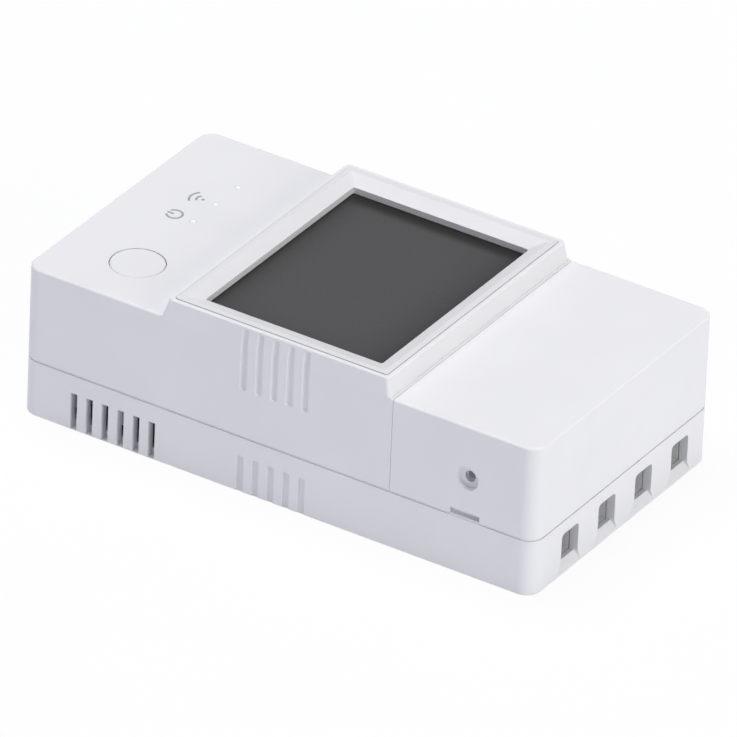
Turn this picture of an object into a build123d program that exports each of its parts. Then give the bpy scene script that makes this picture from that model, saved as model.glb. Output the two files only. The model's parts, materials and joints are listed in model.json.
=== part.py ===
from build123d import *
import os

os.makedirs("parts", exist_ok=True)

# Millimetres. X runs along the case towards the wire ports, Y across it, Z up.
# The origin is the centre of the underside.

# Case
LENGTH = 98.0
WIDTH = 54.0
BODY_HEIGHT = 27.5
SEAM_Z = 10.6
WALL = 1.6
TOP_WALL = 1.8
FLOOR = 1.2
CORNER_RADIUS = 2.8
TOP_FILLET = 0.4
BOTTOM_FILLET = 0.4
SEAM_GROOVE_DEPTH = 0.2
SEAM_GROOVE_HEIGHT = 0.4

# Joint between the base and the covers
LIP_THICKNESS = 0.7
LIP_HEIGHT = 1.0
LIP_CLEARANCE = 0.1
INSIDE_GAP = 0.4
COVER_GAP = 0.06
COVER_LENGTH = 27.4
PARTITION = 1.6
PARTITION_LIFT = 0.3
LAP_LENGTH = 1.3
LAP_THICKNESS = 1.2
LAP_CLEARANCE = 0.3

# Raised display housing on the main cover
TURRET_HEIGHT = 3.3
TURRET_LENGTH = 42.0
TURRET_SETBACK = 1.2
TURRET_INSET_Y = 0.3
TURRET_SLOPE_LEFT = 1.1
TURRET_SLOPE_RIGHT = 0.6
TURRET_CORNER = 0.8
TURRET_WALL = 1.6
RIM_FILLET = 0.2
RIM_WIDTH = 0.75
SEAT_CORNER = 0.5
LEDGE_THICKNESS = 1.8
LEDGE_DROP = 2.0
LEDGE_MARGIN_X = 2.8
LEDGE_MARGIN_Y = 3.6
LEDGE_CORNER = 1.0

# Bezel, window and display
BEZEL_GAP = 0.1
BEZEL_PROUD = 0.1
BEZEL_INNER_DROP = 0.9
BEZEL_FLAT = 1.0
VIEW_MARGIN_X = 4.15
VIEW_MARGIN_Y = 4.95
VIEW_CORNER = 0.4
WINDOW_THICKNESS = 1.0
WINDOW_CORNER = 0.8
GLASS_THICKNESS = 1.6
GLASS_MARGIN = 0.4
PIN_MARGIN = 0.6
PIN_SIZE = 0.4
PIN_PITCH = 2.54
PINS_PER_ROW = 12
BACKLIGHT_THICKNESS = 3.4
BACKLIGHT_MARGIN = 0.3
BACKLIGHT_LEG_RADIUS = 1.2
BACKLIGHT_LEG_INSET_X = 4.0
BACKLIGHT_LEG_INSET_Y = 2.0

# Flutes below the display housing, grooves and vents in the base
FLUTE_COUNT = 5
FLUTE_PITCH = 2.94
FLUTE_FROM_CENTRE = 6.1
FLUTE_RADIUS = 0.7
FLUTE_DEPTH = 0.55
FLUTE_BOTTOM_Z = 19.0
FLUTE_TOP_DROP = 0.5
GROOVE_WIDTH = 1.25
GROOVE_DEPTH = 0.4
GROOVE_TOP_Z = 6.7
VENT_COUNT = 6
VENT_INSET = 10.25
VENT_PITCH = 3.01
VENT_WIDTH = 1.3
VENT_SILL = 0.25
VENT_TOP_Z = 6.95

# Button and status lights on the flat left top
BUTTON_INSET = 14.3
BUTTON_Y = -15.5
BUTTON_RADIUS = 4.6
BUTTON_GAP = 0.12
BUTTON_EDGE = 0.25
BUTTON_TRAVEL = 0.4
BUTTON_FLANGE = 1.0
BUTTON_FLANGE_THICKNESS = 0.5
BUTTON_FLANGE_DROP = 0.1
BUTTON_STEM_RADIUS = 2.0
LIGHT_COUNT = 3
LIGHT_FIRST_Y = 0.87
LIGHT_PITCH = 6.7
LIGHT_RADIUS = 0.5
LIGHT_CLEARANCE = 0.05
LIGHT_BAR_WIDTH = 2.6
LIGHT_BAR_THICKNESS = 1.0
LIGHT_LEG_RADIUS = 0.9
LIGHT_LED_GAP = 0.3
LED_LENGTH = 1.6
LED_WIDTH = 0.8
LED_HEIGHT = 0.7
SWITCH_SIZE = 6.2
SWITCH_HEIGHT = 3.0
PLUNGER_RADIUS = 1.75
PLUNGER_CLEARANCE = 0.08
PLUNGER_HEIGHT = 0.8
PLUNGER_DEPTH = 1.0

# Printed circuit boards
BOARD_THICKNESS = 1.2
BOARD_STANDOFF = 0.6
BOARD_EDGE_GAP = 0.6
BOARD_HOLE_GAP = 0.3
PAD_RADIUS = 1.5
PAD_INSET = 5.0
CONTROL_BOARD_HANG = 4.7
CONTROL_BOARD_END_GAP = 1.0
CONTROL_LEDGE_LENGTH = 2.5
CONTROL_LEDGE_WIDTH = 6.0
CONTROL_LEDGE_Y = 13.0
CONTROL_LEDGE_THICKNESS = 1.4

# Case screws, put in from the underside
CASE_SCREW_LEFT_INSET = 8.0
CASE_SCREW_RIGHT_SETBACK = 7.6
CASE_SCREW_Y_INSET = 5.0
CASE_SCREW_LENGTH = 10.0
CASE_SEAT_Z = 6.5
CASE_HEAD_RADIUS = 2.1
CASE_HEAD_THICKNESS = 1.8
CASE_SHANK_RADIUS = 1.0
CASE_TUBE_RADIUS = 2.8
CASE_BOSS_ROOF = 1.5
CASE_WEB_THICKNESS = 2.0
SCREW_HEAD_GAP = 0.3
SCREW_HOLE_GAP = 0.4
SCREW_PILOT_GAP = 0.05
SCREW_TIP_GAP = 0.5
CROSS_WIDTH = 0.5
CROSS_LENGTH_RATIO = 1.2
CROSS_DEPTH = 0.8

# Screws that hold the control board under the top
HANG_SCREW_LEFT_INSET = 5.0
HANG_SCREW_PITCH = 17.5
HANG_SCREW_Y_INSET = 7.0
HANG_BOSS_RADIUS = 2.4
HANG_SHANK_RADIUS = 0.85
HANG_HEAD_RADIUS = 1.9
HANG_HEAD_THICKNESS = 1.4
HANG_SCREW_REACH = 3.6

# Ribs of the cover that hold the main board down
RIB_LEFT_INSET = 19.0
RIB_RIGHT_SETBACK = 17.6
RIB_THICKNESS = 1.6
RIB_DEPTH = 2.5
RIB_HEIGHT = 14.0

# Screw holes that fasten the terminal cover
COVER_SCREW_INSET = 13.0
COVER_SCREW_Z = 17.95
COVER_SCREW_HEAD_RADIUS = 2.1
COVER_SCREW_HEAD_DEPTH = 1.0
COVER_SCREW_HOLE_RADIUS = 1.0
COVER_SCREW_PILOT_RADIUS = 0.8
POST_LENGTH = 6.0
POST_DEPTH = 2.85
POST_ABOVE_SCREW = 2.95
NOTCH_LENGTH = 5.7
NOTCH_OFFSET = -0.25
NOTCH_HEIGHT = 1.1
NOTCH_DEPTH = 1.1

# Wire ports
PORT_COUNT = 4
PORT_PITCH = 11.15
PORT_CENTRE_Y = 0.9
PORT_WIDTH = 5.1
PORT_BOTTOM_Z = 2.3
PORT_TOP_Z = 7.8
PORT_CORNER = 0.8
CHUTE_DEPTH = 0.8
CHUTE_BOTTOM_Z = 0.7
CHUTE_FLARE = 0.85
CHUTE_LIFT = 0.2

# Terminal block with rising wire clamps
BLOCK_GAP = 0.15
BLOCK_SKIRT = 1.3
BLOCK_SKIRT_GAP = 0.2
BLOCK_FOOT_GAP = 0.3
BLOCK_LENGTH = 21.0
BLOCK_TOWER_LENGTH = 11.2
BLOCK_STEP_HEIGHT = 7.2
BLOCK_HEIGHT = 13.2
BLOCK_END_MARGIN = 4.4
CLAMP_LENGTH = 7.0
CLAMP_END_INSET = 2.1
CLAMP_WIDTH = 6.2
CLAMP_WALL = 0.7
CLAMP_FLOOR = 0.5
CLAMP_LIFT_GAP = 0.15
CLAMP_WIRE_SPACE = 4.2
CLAMP_HEAD = 1.6
CLAMP_CLEARANCE = 0.3
CLAMP_TRAVEL = 2.8
BUSBAR_THICKNESS = 1.0
BUSBAR_CLEARANCE = 0.15
BUSBAR_SIDE_GAP = 0.3
BUSBAR_HEAD_GAP = 0.1
BUSBAR_END_INSET = 1.2
BUSBAR_LEG_INSET = 3.0
TERMINAL_SCREW_RADIUS = 1.5
TERMINAL_SCREW_CLEARANCE = 0.06
TERMINAL_HEAD_RADIUS = 2.5
TERMINAL_HEAD_THICKNESS = 1.8
TERMINAL_HEAD_GAP = 0.2
TERMINAL_HEAD_LIFT = 0.1
SLOT_WIDTH = 0.8
SLOT_DEPTH = 0.9

# Sensor socket in the left end
JACK_WIDTH = 11.6
JACK_HEIGHT = 9.2
JACK_LENGTH = 12.0
JACK_FACE_INSET = 0.6
JACK_CLEARANCE = 0.2
PLUG_WIDTH = 8.0
PLUG_HEIGHT = 6.6
PLUG_DEPTH = 10.0
PLUG_FLOOR = 1.6
LATCH_WIDTH = 3.4
LATCH_HEIGHT = 0.6
CONTACT_COUNT = 4
CONTACT_PITCH = 1.27
CONTACT_SIZE = 0.4
CONTACT_LENGTH = 7.0

# Relay, measured from its own end and from the main board
RELAY_X = -13.5
RELAY_Y = -12.2
RELAY_LENGTH = 29.0
RELAY_WIDTH = 12.7
RELAY_HEIGHT = 15.2
RELAY_WALL = 0.8
RELAY_EDGE = 0.5
RELAY_CASE_LIFT = 0.3
RELAY_FIT = 0.05
RELAY_BASE_HEIGHT = 1.6
RELAY_AXIS_HEIGHT = 7.0
BOBBIN_START = 4.0
BOBBIN_END = 16.4
BOBBIN_FLANGE = 0.8
BOBBIN_FLANGE_MARGIN = 0.5
BOBBIN_TUBE_RADIUS = 2.7
COIL_RADIUS = 4.4
CORE_RADIUS = 2.0
CORE_CLEARANCE = 0.1
CORE_END = 17.2
YOKE_THICKNESS = 1.2
YOKE_WIDTH = 8.0
YOKE_START = 2.4
YOKE_TOP = 13.6
YOKE_END = 17.9
ARMATURE_START = 18.3
ARMATURE_THICKNESS = 1.0
ARMATURE_BOTTOM = 2.4
ARMATURE_TOP = 13.2
ARM_THICKNESS = 0.8
ARM_END = 26.0
ARM_WIDTH = 5.0
RIVET_X = 24.6
RIVET_RADIUS = 1.3
RIVET_HEIGHT = 1.0
FIXED_RIVET_HEIGHT = 0.4
CONTACT_GAP = 0.8
CONTACT_BLADE = 0.8
CONTACT_TAB_LENGTH = 2.8
CONTACT_TAB_WIDTH = 4.0
CONTACT_TAB_THICKNESS = 0.5

# Transformer
TRANSFORMER_Y = 10.0
FORMER_WIDTH = 12.0
FORMER_HEIGHT = 1.2
FERRITE_LENGTH = 16.0
FERRITE_WIDTH = 6.0
FERRITE_HEIGHT = 12.0
FERRITE_LEG = 2.0
FERRITE_CENTRE_LEG = 4.0
WINDING_LENGTH = 11.6
WINDING_WIDTH = 11.6
WINDING_GAP = 0.2
WINDING_CORNER = 2.0

# Other parts on the main board
# Plain blocks are given as x, y, length, width and height
RADIO_BOARD_THICKNESS = 0.8
RADIO_BOARD = (-25.0, -11.0, 18.0, 16.0, RADIO_BOARD_THICKNESS)
RADIO_SHIELD = (-23.5, -11.0, 13.0, 14.0, 2.2)
FILM_CAPACITOR = (14.5, 3.0, 6.0, 13.0, 11.0)
RECTIFIER = (-24.0, 14.0, 6.4, 8.6, 3.2)
SUPPLY_CHIP = (-8.0, -1.0, 5.0, 4.0, 1.5)
METER_CHIP = (-0.5, -1.0, 5.0, 4.0, 1.5)
RELAY_CHIP = (7.0, -1.0, 4.0, 4.0, 1.2)
SHIELD_CORNER = 0.6
LEAD_RADIUS = 0.3
CAPACITOR_COUNT = 2
CAPACITOR_X = -15.5
CAPACITOR_FIRST_Y = 6.5
CAPACITOR_PITCH = 10.0
CAPACITOR_RADIUS = 4.0
CAPACITOR_HEIGHT = 12.0
CAPACITOR_EDGE = 0.5
VARISTOR_X = 14.5
VARISTOR_Y = 14.3
VARISTOR_RADIUS = 4.2
VARISTOR_THICKNESS = 4.0
VARISTOR_EDGE = 1.0
VARISTOR_LIFT = 1.0
CHOKE_X = -25.0
CHOKE_Y = 4.5
CHOKE_RADIUS = 4.0
CHOKE_HEIGHT = 9.0
CHOKE_FLANGE = 1.5
CHOKE_WAIST_DEPTH = 0.6
FUSE_X = -8.0
FUSE_Y = -21.7
FUSE_RADIUS = 1.9
FUSE_LENGTH = 10.0
FUSE_LIFT = 0.4
FUSE_LEAD_REACH = 1.2
LINK_X = -33.0
LINK_FIRST_Y = 9.5
LINK_PINS = 5
LINK_STRIP = 2.5
LINK_PIN_SIZE = 0.6
LINK_ENGAGEMENT = 3.2
LINK_SOCKET_HEIGHT = 8.5
LINK_HOLE_CLEARANCE = 0.1
LINK_HOLE_ROOF = 0.4

# How far features of one piece run into each other, how far cutters overshoot, smallest inside corner
WELD = 0.3
CUT = 1.0
SMALLEST_CORNER = 0.5

# Levels and faces worked out from the sizes above
HALF_LENGTH = LENGTH / 2
HALF_WIDTH = WIDTH / 2
INNER_X = HALF_LENGTH - WALL
INNER_Y = HALF_WIDTH - WALL
TOTAL_HEIGHT = BODY_HEIGHT + TURRET_HEIGHT
CEILING = BODY_HEIGHT - TOP_WALL
LIP_TOP = SEAM_Z + LIP_HEIGHT
SPLIT_X = HALF_LENGTH - COVER_LENGTH
PARTITION_X = SPLIT_X - PARTITION
TURRET_RIGHT = SPLIT_X - TURRET_SETBACK
TURRET_LEFT = TURRET_RIGHT - TURRET_LENGTH
TURRET_CENTRE = (TURRET_LEFT + TURRET_RIGHT) / 2
LEDGE_TOP = TOTAL_HEIGHT - LEDGE_DROP
LEDGE_BOTTOM = LEDGE_TOP - LEDGE_THICKNESS
LEDGE_OPENING_LENGTH = TURRET_LENGTH - 2 * LEDGE_MARGIN_X
LEDGE_OPENING_WIDTH = WIDTH - 2 * LEDGE_MARGIN_Y
VIEW_LENGTH = TURRET_LENGTH - 2 * VIEW_MARGIN_X
VIEW_WIDTH = WIDTH - 2 * VIEW_MARGIN_Y
GLASS_TOP = LEDGE_TOP - WINDOW_THICKNESS
GLASS_BOTTOM = GLASS_TOP - GLASS_THICKNESS
GLASS_HALF_X = LEDGE_OPENING_LENGTH / 2 - GLASS_MARGIN
GLASS_HALF_Y = LEDGE_OPENING_WIDTH / 2 - PIN_MARGIN
PIN_ROW_Y = GLASS_HALF_Y - PIN_MARGIN
BOARD_TOP = FLOOR + BOARD_STANDOFF + BOARD_THICKNESS
CONTROL_TOP = CEILING - CONTROL_BOARD_HANG
CONTROL_BOTTOM = CONTROL_TOP - BOARD_THICKNESS
SWITCH_TOP = CONTROL_TOP + SWITCH_HEIGHT
BUTTON_X = -HALF_LENGTH + BUTTON_INSET
CASE_SCREW_TIP = CASE_SEAT_Z + CASE_SCREW_LENGTH
HANG_SCREW_TIP = CONTROL_TOP + HANG_SCREW_REACH
COVER_SCREW_X = HALF_LENGTH - COVER_SCREW_INSET
BLOCK_FRONT = INNER_X - BLOCK_GAP
CLAMP_X1 = BLOCK_FRONT - CLAMP_END_INSET
CLAMP_X0 = CLAMP_X1 - CLAMP_LENGTH
CLAMP_X = (CLAMP_X0 + CLAMP_X1) / 2
CLAMP_FOOT = BOARD_TOP + CLAMP_LIFT_GAP
WIRE_FLOOR = CLAMP_FOOT + CLAMP_FLOOR
BUSBAR_Z = WIRE_FLOOR + CLAMP_WIRE_SPACE
BUSBAR_TOP = BUSBAR_Z + BUSBAR_THICKNESS
BUSBAR_HALF_WIDTH = CLAMP_WIDTH / 2 - CLAMP_WALL - BUSBAR_SIDE_GAP
BUSBAR_X0 = BLOCK_FRONT - BLOCK_LENGTH + BUSBAR_LEG_INSET
BUSBAR_X1 = BLOCK_FRONT - BUSBAR_END_INSET
CLAMP_HEAD_Z = BUSBAR_TOP + BUSBAR_HEAD_GAP
CLAMP_TOP = CLAMP_HEAD_Z + CLAMP_HEAD
CHAMBER_TOP = CLAMP_TOP + CLAMP_TRAVEL + CLAMP_CLEARANCE
JACK_X0 = -HALF_LENGTH + JACK_FACE_INSET
PLUG_END = JACK_X0 + PLUG_DEPTH
PLUG_BOTTOM = BOARD_TOP + PLUG_FLOOR
PLUG_TOP = PLUG_BOTTOM + PLUG_HEIGHT
SIDES = (-1, 1)


def block(x0, x1, y0, y1, z0, z1):
    """Box between two opposite corners, given in any order."""
    centre = Pos((x0 + x1) / 2, (y0 + y1) / 2, (z0 + z1) / 2)
    return centre * Box(abs(x1 - x0), abs(y1 - y0), abs(z1 - z0))


def post(x, y, radius, z0, z1):
    """Upright round bar."""
    return Pos(x, y, (z0 + z1) / 2) * Cylinder(radius, z1 - z0)


def bar_along_x(x0, x1, y, z, radius):
    """Round bar that lies along X."""
    return Pos((x0 + x1) / 2, y, z) * Rot(0, 90, 0) * Cylinder(radius, x1 - x0)


def bar_along_y(x, y0, y1, z, radius):
    """Round bar that lies along Y."""
    return Pos(x, (y0 + y1) / 2, z) * Rot(90, 0, 0) * Cylinder(radius, abs(y1 - y0))


def plate(x, length, width, corner, z0, z1):
    """Flat piece with rounded corners, centred on the line y = 0."""
    return extrude(Pos(x, 0, z0) * RectangleRounded(length, width, corner), z1 - z0)


def case_slab(inset, z0, z1):
    """Rounded plan of the case, moved in by inset, between two heights."""
    corner = max(CORNER_RADIUS - inset, SMALLEST_CORNER)
    return plate(0, LENGTH - 2 * inset, WIDTH - 2 * inset, corner, z0, z1)


def component(place, z0):
    """Plain block from x, y, length, width and height, standing at z0."""
    x, y, length, width, height = place
    return Pos(x, y, z0 + height / 2) * Box(length, width, height)


def right_of(x):
    """Everything to the right of x."""
    return block(x, LENGTH, -WIDTH, WIDTH, -CUT, TOTAL_HEIGHT + CUT)


def edges_at(shape, z):
    """Edges that lie flat at height z."""
    return shape.edges().filter_by_position(Axis.Z, z - 0.01, z + 0.01)


def row(first, pitch, count):
    """Evenly spaced places."""
    return [first + pitch * i for i in range(count)]


def save(name, shape):
    """Write one sub-part."""
    export_step(shape, f"parts/{name}.step")


# Places that several pieces share
def port_centres():
    return row(PORT_CENTRE_Y - PORT_PITCH * (PORT_COUNT - 1) / 2, PORT_PITCH, PORT_COUNT)


def light_centres():
    return row(LIGHT_FIRST_Y, LIGHT_PITCH, LIGHT_COUNT)


def link_centres():
    return row(LINK_FIRST_Y, PIN_PITCH, LINK_PINS)


def flute_centres():
    return row(TURRET_CENTRE - FLUTE_FROM_CENTRE, FLUTE_PITCH, FLUTE_COUNT)


def case_screw_places():
    y = HALF_WIDTH - CASE_SCREW_Y_INSET
    xs = (-HALF_LENGTH + CASE_SCREW_LEFT_INSET, SPLIT_X - CASE_SCREW_RIGHT_SETBACK)
    return [(x, side * y) for x in xs for side in SIDES]


def hang_screw_places():
    y = HALF_WIDTH - HANG_SCREW_Y_INSET
    xs = row(-HALF_LENGTH + HANG_SCREW_LEFT_INSET, HANG_SCREW_PITCH, 2)
    return [(x, side * y) for x in xs for side in SIDES]


def jack_opening(z0, z1):
    """Cut through the left end wall round the sensor socket."""
    reach = JACK_WIDTH / 2 + JACK_CLEARANCE
    return block(-HALF_LENGTH - CUT, -INNER_X + CUT, -reach, reach, z0, z1)


# Base shell
def port_cut(y):
    """One wire port with its flared chute below."""
    middle = (PORT_BOTTOM_Z + PORT_TOP_Z) / 2
    hole = Box(2 * (WALL + CUT), PORT_WIDTH, PORT_TOP_Z - PORT_BOTTOM_Z)
    hole = fillet(hole.edges().filter_by(Axis.X).group_by(Axis.Z)[-1], PORT_CORNER)
    narrow = PORT_WIDTH / 2
    wide = narrow + CHUTE_FLARE
    sill = PORT_BOTTOM_Z + CHUTE_LIFT
    inner_end = (HALF_LENGTH - CHUTE_DEPTH, narrow, PORT_BOTTOM_Z)
    outer_end = (HALF_LENGTH, wide, CHUTE_BOTTOM_Z)
    faces = []
    for x, half, low in (inner_end, outer_end):
        corners = ((-half, low), (half, low), (narrow, sill), (-narrow, sill))
        across = Plane(origin=(x, y, 0), x_dir=(0, 1, 0), z_dir=(1, 0, 0))
        faces.append(across * Polygon(*corners, align=None))
    return Pos(HALF_LENGTH, y, middle) * hole + loft(faces)


def side_slots(centres, width, depth, low_z, top_z):
    """Upright slots on both long sides."""
    slots = []
    for x in centres:
        for side in SIDES:
            y0, y1 = side * (HALF_WIDTH - depth), side * (HALF_WIDTH + CUT)
            slots.append(block(x - width / 2, x + width / 2, y0, y1, low_z, top_z))
    return slots


def cover_posts():
    """Two posts that take the terminal cover's screws."""
    x0, x1 = COVER_SCREW_X - POST_LENGTH / 2, COVER_SCREW_X + POST_LENGTH / 2
    top = COVER_SCREW_Z + POST_ABOVE_SCREW
    shape = Part()
    for side in SIDES:
        inner = side * (INNER_Y - POST_DEPTH)
        shape += block(x0, x1, inner, side * (INNER_Y + WELD), FLOOR - WELD, SEAM_Z)
        shape += block(x0, x1, inner, side * (INNER_Y - COVER_GAP), SEAM_Z, top)
    pilot = bar_along_y(COVER_SCREW_X, -HALF_WIDTH, HALF_WIDTH, COVER_SCREW_Z, COVER_SCREW_PILOT_RADIUS)
    return shape - pilot


def board_pads():
    """Pads that the main board lies on."""
    x, y = INNER_X - PAD_INSET, INNER_Y - PAD_INSET
    places = [(px, side * y) for px in (-x, -x / 3, x / 3, x) for side in SIDES]
    places += [(-x, 0), (x, 0)]
    return [post(px, py, PAD_RADIUS, FLOOR - WELD, FLOOR + BOARD_STANDOFF) for px, py in places]


def seam_groove():
    """Step round the top edge of the base that shows as a thin dark line."""
    band = case_slab(-CUT, SEAM_Z - SEAM_GROOVE_HEIGHT, SEAM_Z + CUT)
    return band - case_slab(SEAM_GROOVE_DEPTH, SEAM_Z - CUT, SEAM_Z + 2 * CUT)


def base_lip():
    """Lip round the base that the covers fit over."""
    lip = case_slab(WALL - LIP_THICKNESS, SEAM_Z - CUT, LIP_TOP)
    return lip - case_slab(WALL, SEAM_Z - 2 * CUT, LIP_TOP + CUT)


def base_shell():
    body = case_slab(0, 0, SEAM_Z)
    body = fillet(edges_at(body, 0), BOTTOM_FILLET)
    body -= case_slab(WALL, FLOOR, SEAM_Z + CUT)
    body -= seam_groove()
    body += base_lip()
    body += cover_posts()
    body += board_pads()
    for x, y in case_screw_places():
        body += post(x, y, CASE_TUBE_RADIUS, FLOOR - WELD, SEAM_Z)
        body -= post(x, y, CASE_HEAD_RADIUS + SCREW_HEAD_GAP, -CUT, CASE_SEAT_Z)
        body -= post(x, y, CASE_SHANK_RADIUS + SCREW_HOLE_GAP, 0, SEAM_Z + CUT)
    body -= [port_cut(y) for y in port_centres()]
    vents = row(-HALF_LENGTH + VENT_INSET, VENT_PITCH, VENT_COUNT)
    body -= side_slots(vents, VENT_WIDTH, WALL, VENT_SILL, VENT_TOP_Z)
    body -= side_slots(flute_centres(), GROOVE_WIDTH, GROOVE_DEPTH, -CUT, GROOVE_TOP_Z)
    return body - jack_opening(BOARD_TOP - JACK_CLEARANCE, LIP_TOP + CUT)


# Main cover
def cover_outside():
    body = case_slab(0, SEAM_Z, BODY_HEIGHT)
    return fillet(edges_at(body, BODY_HEIGHT), TOP_FILLET)


def cover_rebate():
    """Room for the base's lip along the lower edge of the covers."""
    inset = WALL - LIP_THICKNESS - LIP_CLEARANCE
    return case_slab(inset, SEAM_Z - CUT, LIP_TOP + LIP_CLEARANCE)


def turret_outside():
    """Display housing with sloping sides, flush with the case at its foot."""
    left, right = TURRET_LEFT - TURRET_SLOPE_LEFT, TURRET_RIGHT + TURRET_SLOPE_RIGHT
    foot = RectangleRounded(right - left, WIDTH, TURRET_CORNER)
    foot = Pos((left + right) / 2, 0, BODY_HEIGHT) * foot
    rim = RectangleRounded(TURRET_LENGTH, WIDTH - 2 * TURRET_INSET_Y, TURRET_CORNER)
    rim = Pos(TURRET_CENTRE, 0, TOTAL_HEIGHT) * rim
    shape = loft([foot, rim])
    shape = fillet(edges_at(shape, TOTAL_HEIGHT), RIM_FILLET)
    return shape + block(left, right, -HALF_WIDTH, HALF_WIDTH, BODY_HEIGHT - 2 * TOP_FILLET, BODY_HEIGHT)


def turret_inside():
    """Room for the display, its ledge opening and the bezel's seat."""
    x0, x1 = TURRET_LEFT + TURRET_WALL, TURRET_RIGHT - TURRET_WALL
    y = HALF_WIDTH - TURRET_INSET_Y - TURRET_WALL
    top = TOTAL_HEIGHT + CUT
    room = block(x0, x1, -y, y, CEILING - CUT, LEDGE_BOTTOM)
    opening = plate(TURRET_CENTRE, LEDGE_OPENING_LENGTH, LEDGE_OPENING_WIDTH, LEDGE_CORNER, CEILING, top)
    length = TURRET_LENGTH - 2 * RIM_WIDTH
    width = WIDTH - 2 * (TURRET_INSET_Y + RIM_WIDTH)
    seat = plate(TURRET_CENTRE, length, width, SEAT_CORNER, LEDGE_TOP, top)
    return [room, opening, seat]


def flutes():
    """Scooped upright flutes on both long sides, round at the lower end."""
    cuts = []
    top = TOTAL_HEIGHT - FLUTE_TOP_DROP
    low = FLUTE_BOTTOM_Z + FLUTE_RADIUS
    for x in flute_centres():
        for side in SIDES:
            y = side * (HALF_WIDTH + FLUTE_RADIUS - FLUTE_DEPTH)
            cuts.append(post(x, y, FLUTE_RADIUS, low, top) + Pos(x, y, low) * Sphere(FLUTE_RADIUS))
    return cuts


def hold_down_ribs():
    """Ribs from the cover's side walls that press on the main board."""
    top = BOARD_TOP + RIB_HEIGHT
    shape = Part()
    for x in (-HALF_LENGTH + RIB_LEFT_INSET, SPLIT_X - RIB_RIGHT_SETBACK):
        x0, x1 = x - RIB_THICKNESS / 2, x + RIB_THICKNESS / 2
        for side in SIDES:
            inner = side * (INNER_Y - RIB_DEPTH)
            shape += block(x0, x1, inner, side * (INNER_Y - INSIDE_GAP), BOARD_TOP, top)
            shape += block(x0, x1, inner, side * (INNER_Y + WELD), LIP_TOP + INSIDE_GAP, top)
    return shape


def case_screw_bosses():
    """Bosses over the base's screw tubes, each webbed to its side wall."""
    top = CASE_SCREW_TIP + CASE_BOSS_ROOF
    half = CASE_WEB_THICKNESS / 2
    shape = Part()
    for x, y in case_screw_places():
        wall = INNER_Y + WELD if y > 0 else -INNER_Y - WELD
        shape += post(x, y, CASE_TUBE_RADIUS, SEAM_Z, top)
        shape += block(x - half, x + half, y, wall, LIP_TOP + INSIDE_GAP, top)
    return shape


def partition_foot():
    """Lower part of the partition, inside the base's walls."""
    reach = INNER_Y - INSIDE_GAP
    return block(PARTITION_X, SPLIT_X, -reach, reach, BOARD_TOP + PARTITION_LIFT, LIP_TOP + 2 * INSIDE_GAP)


def lap_lip():
    """Lip of the partition that the terminal cover closes over."""
    reach = INNER_Y - LAP_CLEARANCE
    inner = reach - LAP_THICKNESS
    low, top = LIP_TOP + INSIDE_GAP, CEILING - LAP_CLEARANCE
    end = SPLIT_X + LAP_LENGTH
    outer = block(PARTITION_X, end, -reach, reach, low, top)
    return outer - block(SPLIT_X, end + CUT, -inner, inner, low - CUT, top - LAP_THICKNESS)


def control_board_seats():
    """Bosses at the left end and ledges on the partition, all against the control board."""
    seats = [post(x, y, HANG_BOSS_RADIUS, CONTROL_TOP, CEILING + WELD) for x, y in hang_screw_places()]
    top = CONTROL_TOP + CONTROL_LEDGE_THICKNESS
    for side in SIDES:
        y0 = side * CONTROL_LEDGE_Y - CONTROL_LEDGE_WIDTH / 2
        y1 = y0 + CONTROL_LEDGE_WIDTH
        seats.append(block(PARTITION_X - CONTROL_LEDGE_LENGTH, PARTITION_X + WELD, y0, y1, CONTROL_TOP, top))
    return seats


def cover_holes():
    """Button hole, light holes and screw holes of the main cover."""
    holes = [post(BUTTON_X, BUTTON_Y, BUTTON_RADIUS + BUTTON_GAP, CEILING - CUT, TOTAL_HEIGHT)]
    for y in light_centres():
        holes.append(post(BUTTON_X, y, LIGHT_RADIUS + LIGHT_CLEARANCE, CEILING - CUT, TOTAL_HEIGHT))
    for x, y in case_screw_places():
        radius = CASE_SHANK_RADIUS + SCREW_PILOT_GAP
        holes.append(post(x, y, radius, SEAM_Z - CUT, CASE_SCREW_TIP + SCREW_TIP_GAP))
    for x, y in hang_screw_places():
        radius = HANG_SHANK_RADIUS + SCREW_PILOT_GAP
        holes.append(post(x, y, radius, CONTROL_TOP - CUT, HANG_SCREW_TIP + SCREW_TIP_GAP))
    return holes


def main_cover():
    body = cover_outside() - right_of(SPLIT_X)
    body -= case_slab(WALL, SEAM_Z - CUT, CEILING) - right_of(PARTITION_X)
    body += turret_outside()
    body -= turret_inside()
    body -= cover_rebate() - block(PARTITION_X, LENGTH, -INNER_Y, INNER_Y, 0, TOTAL_HEIGHT)
    body += partition_foot()
    body += lap_lip()
    body += hold_down_ribs()
    body += case_screw_bosses()
    body += control_board_seats()
    body -= cover_holes()
    body -= flutes()
    return body - jack_opening(SEAM_Z - CUT, BOARD_TOP + JACK_HEIGHT + JACK_CLEARANCE)


# Terminal cover
def side_screw_cuts(side):
    """Screw hole, counterbore and pry notch in one long side of the terminal cover."""
    past = side * (HALF_WIDTH + CUT)
    seat = side * (HALF_WIDTH - COVER_SCREW_HEAD_DEPTH)
    hole = bar_along_y(COVER_SCREW_X, side * (INNER_Y - CUT), past, COVER_SCREW_Z, COVER_SCREW_HOLE_RADIUS)
    counterbore = bar_along_y(COVER_SCREW_X, seat, past, COVER_SCREW_Z, COVER_SCREW_HEAD_RADIUS)
    x0 = COVER_SCREW_X + NOTCH_OFFSET - NOTCH_LENGTH / 2
    x1 = x0 + NOTCH_LENGTH
    notch = block(x0, x1, side * (HALF_WIDTH - NOTCH_DEPTH), past, SEAM_Z - CUT, SEAM_Z + NOTCH_HEIGHT)
    return [hole, counterbore, notch]


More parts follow.
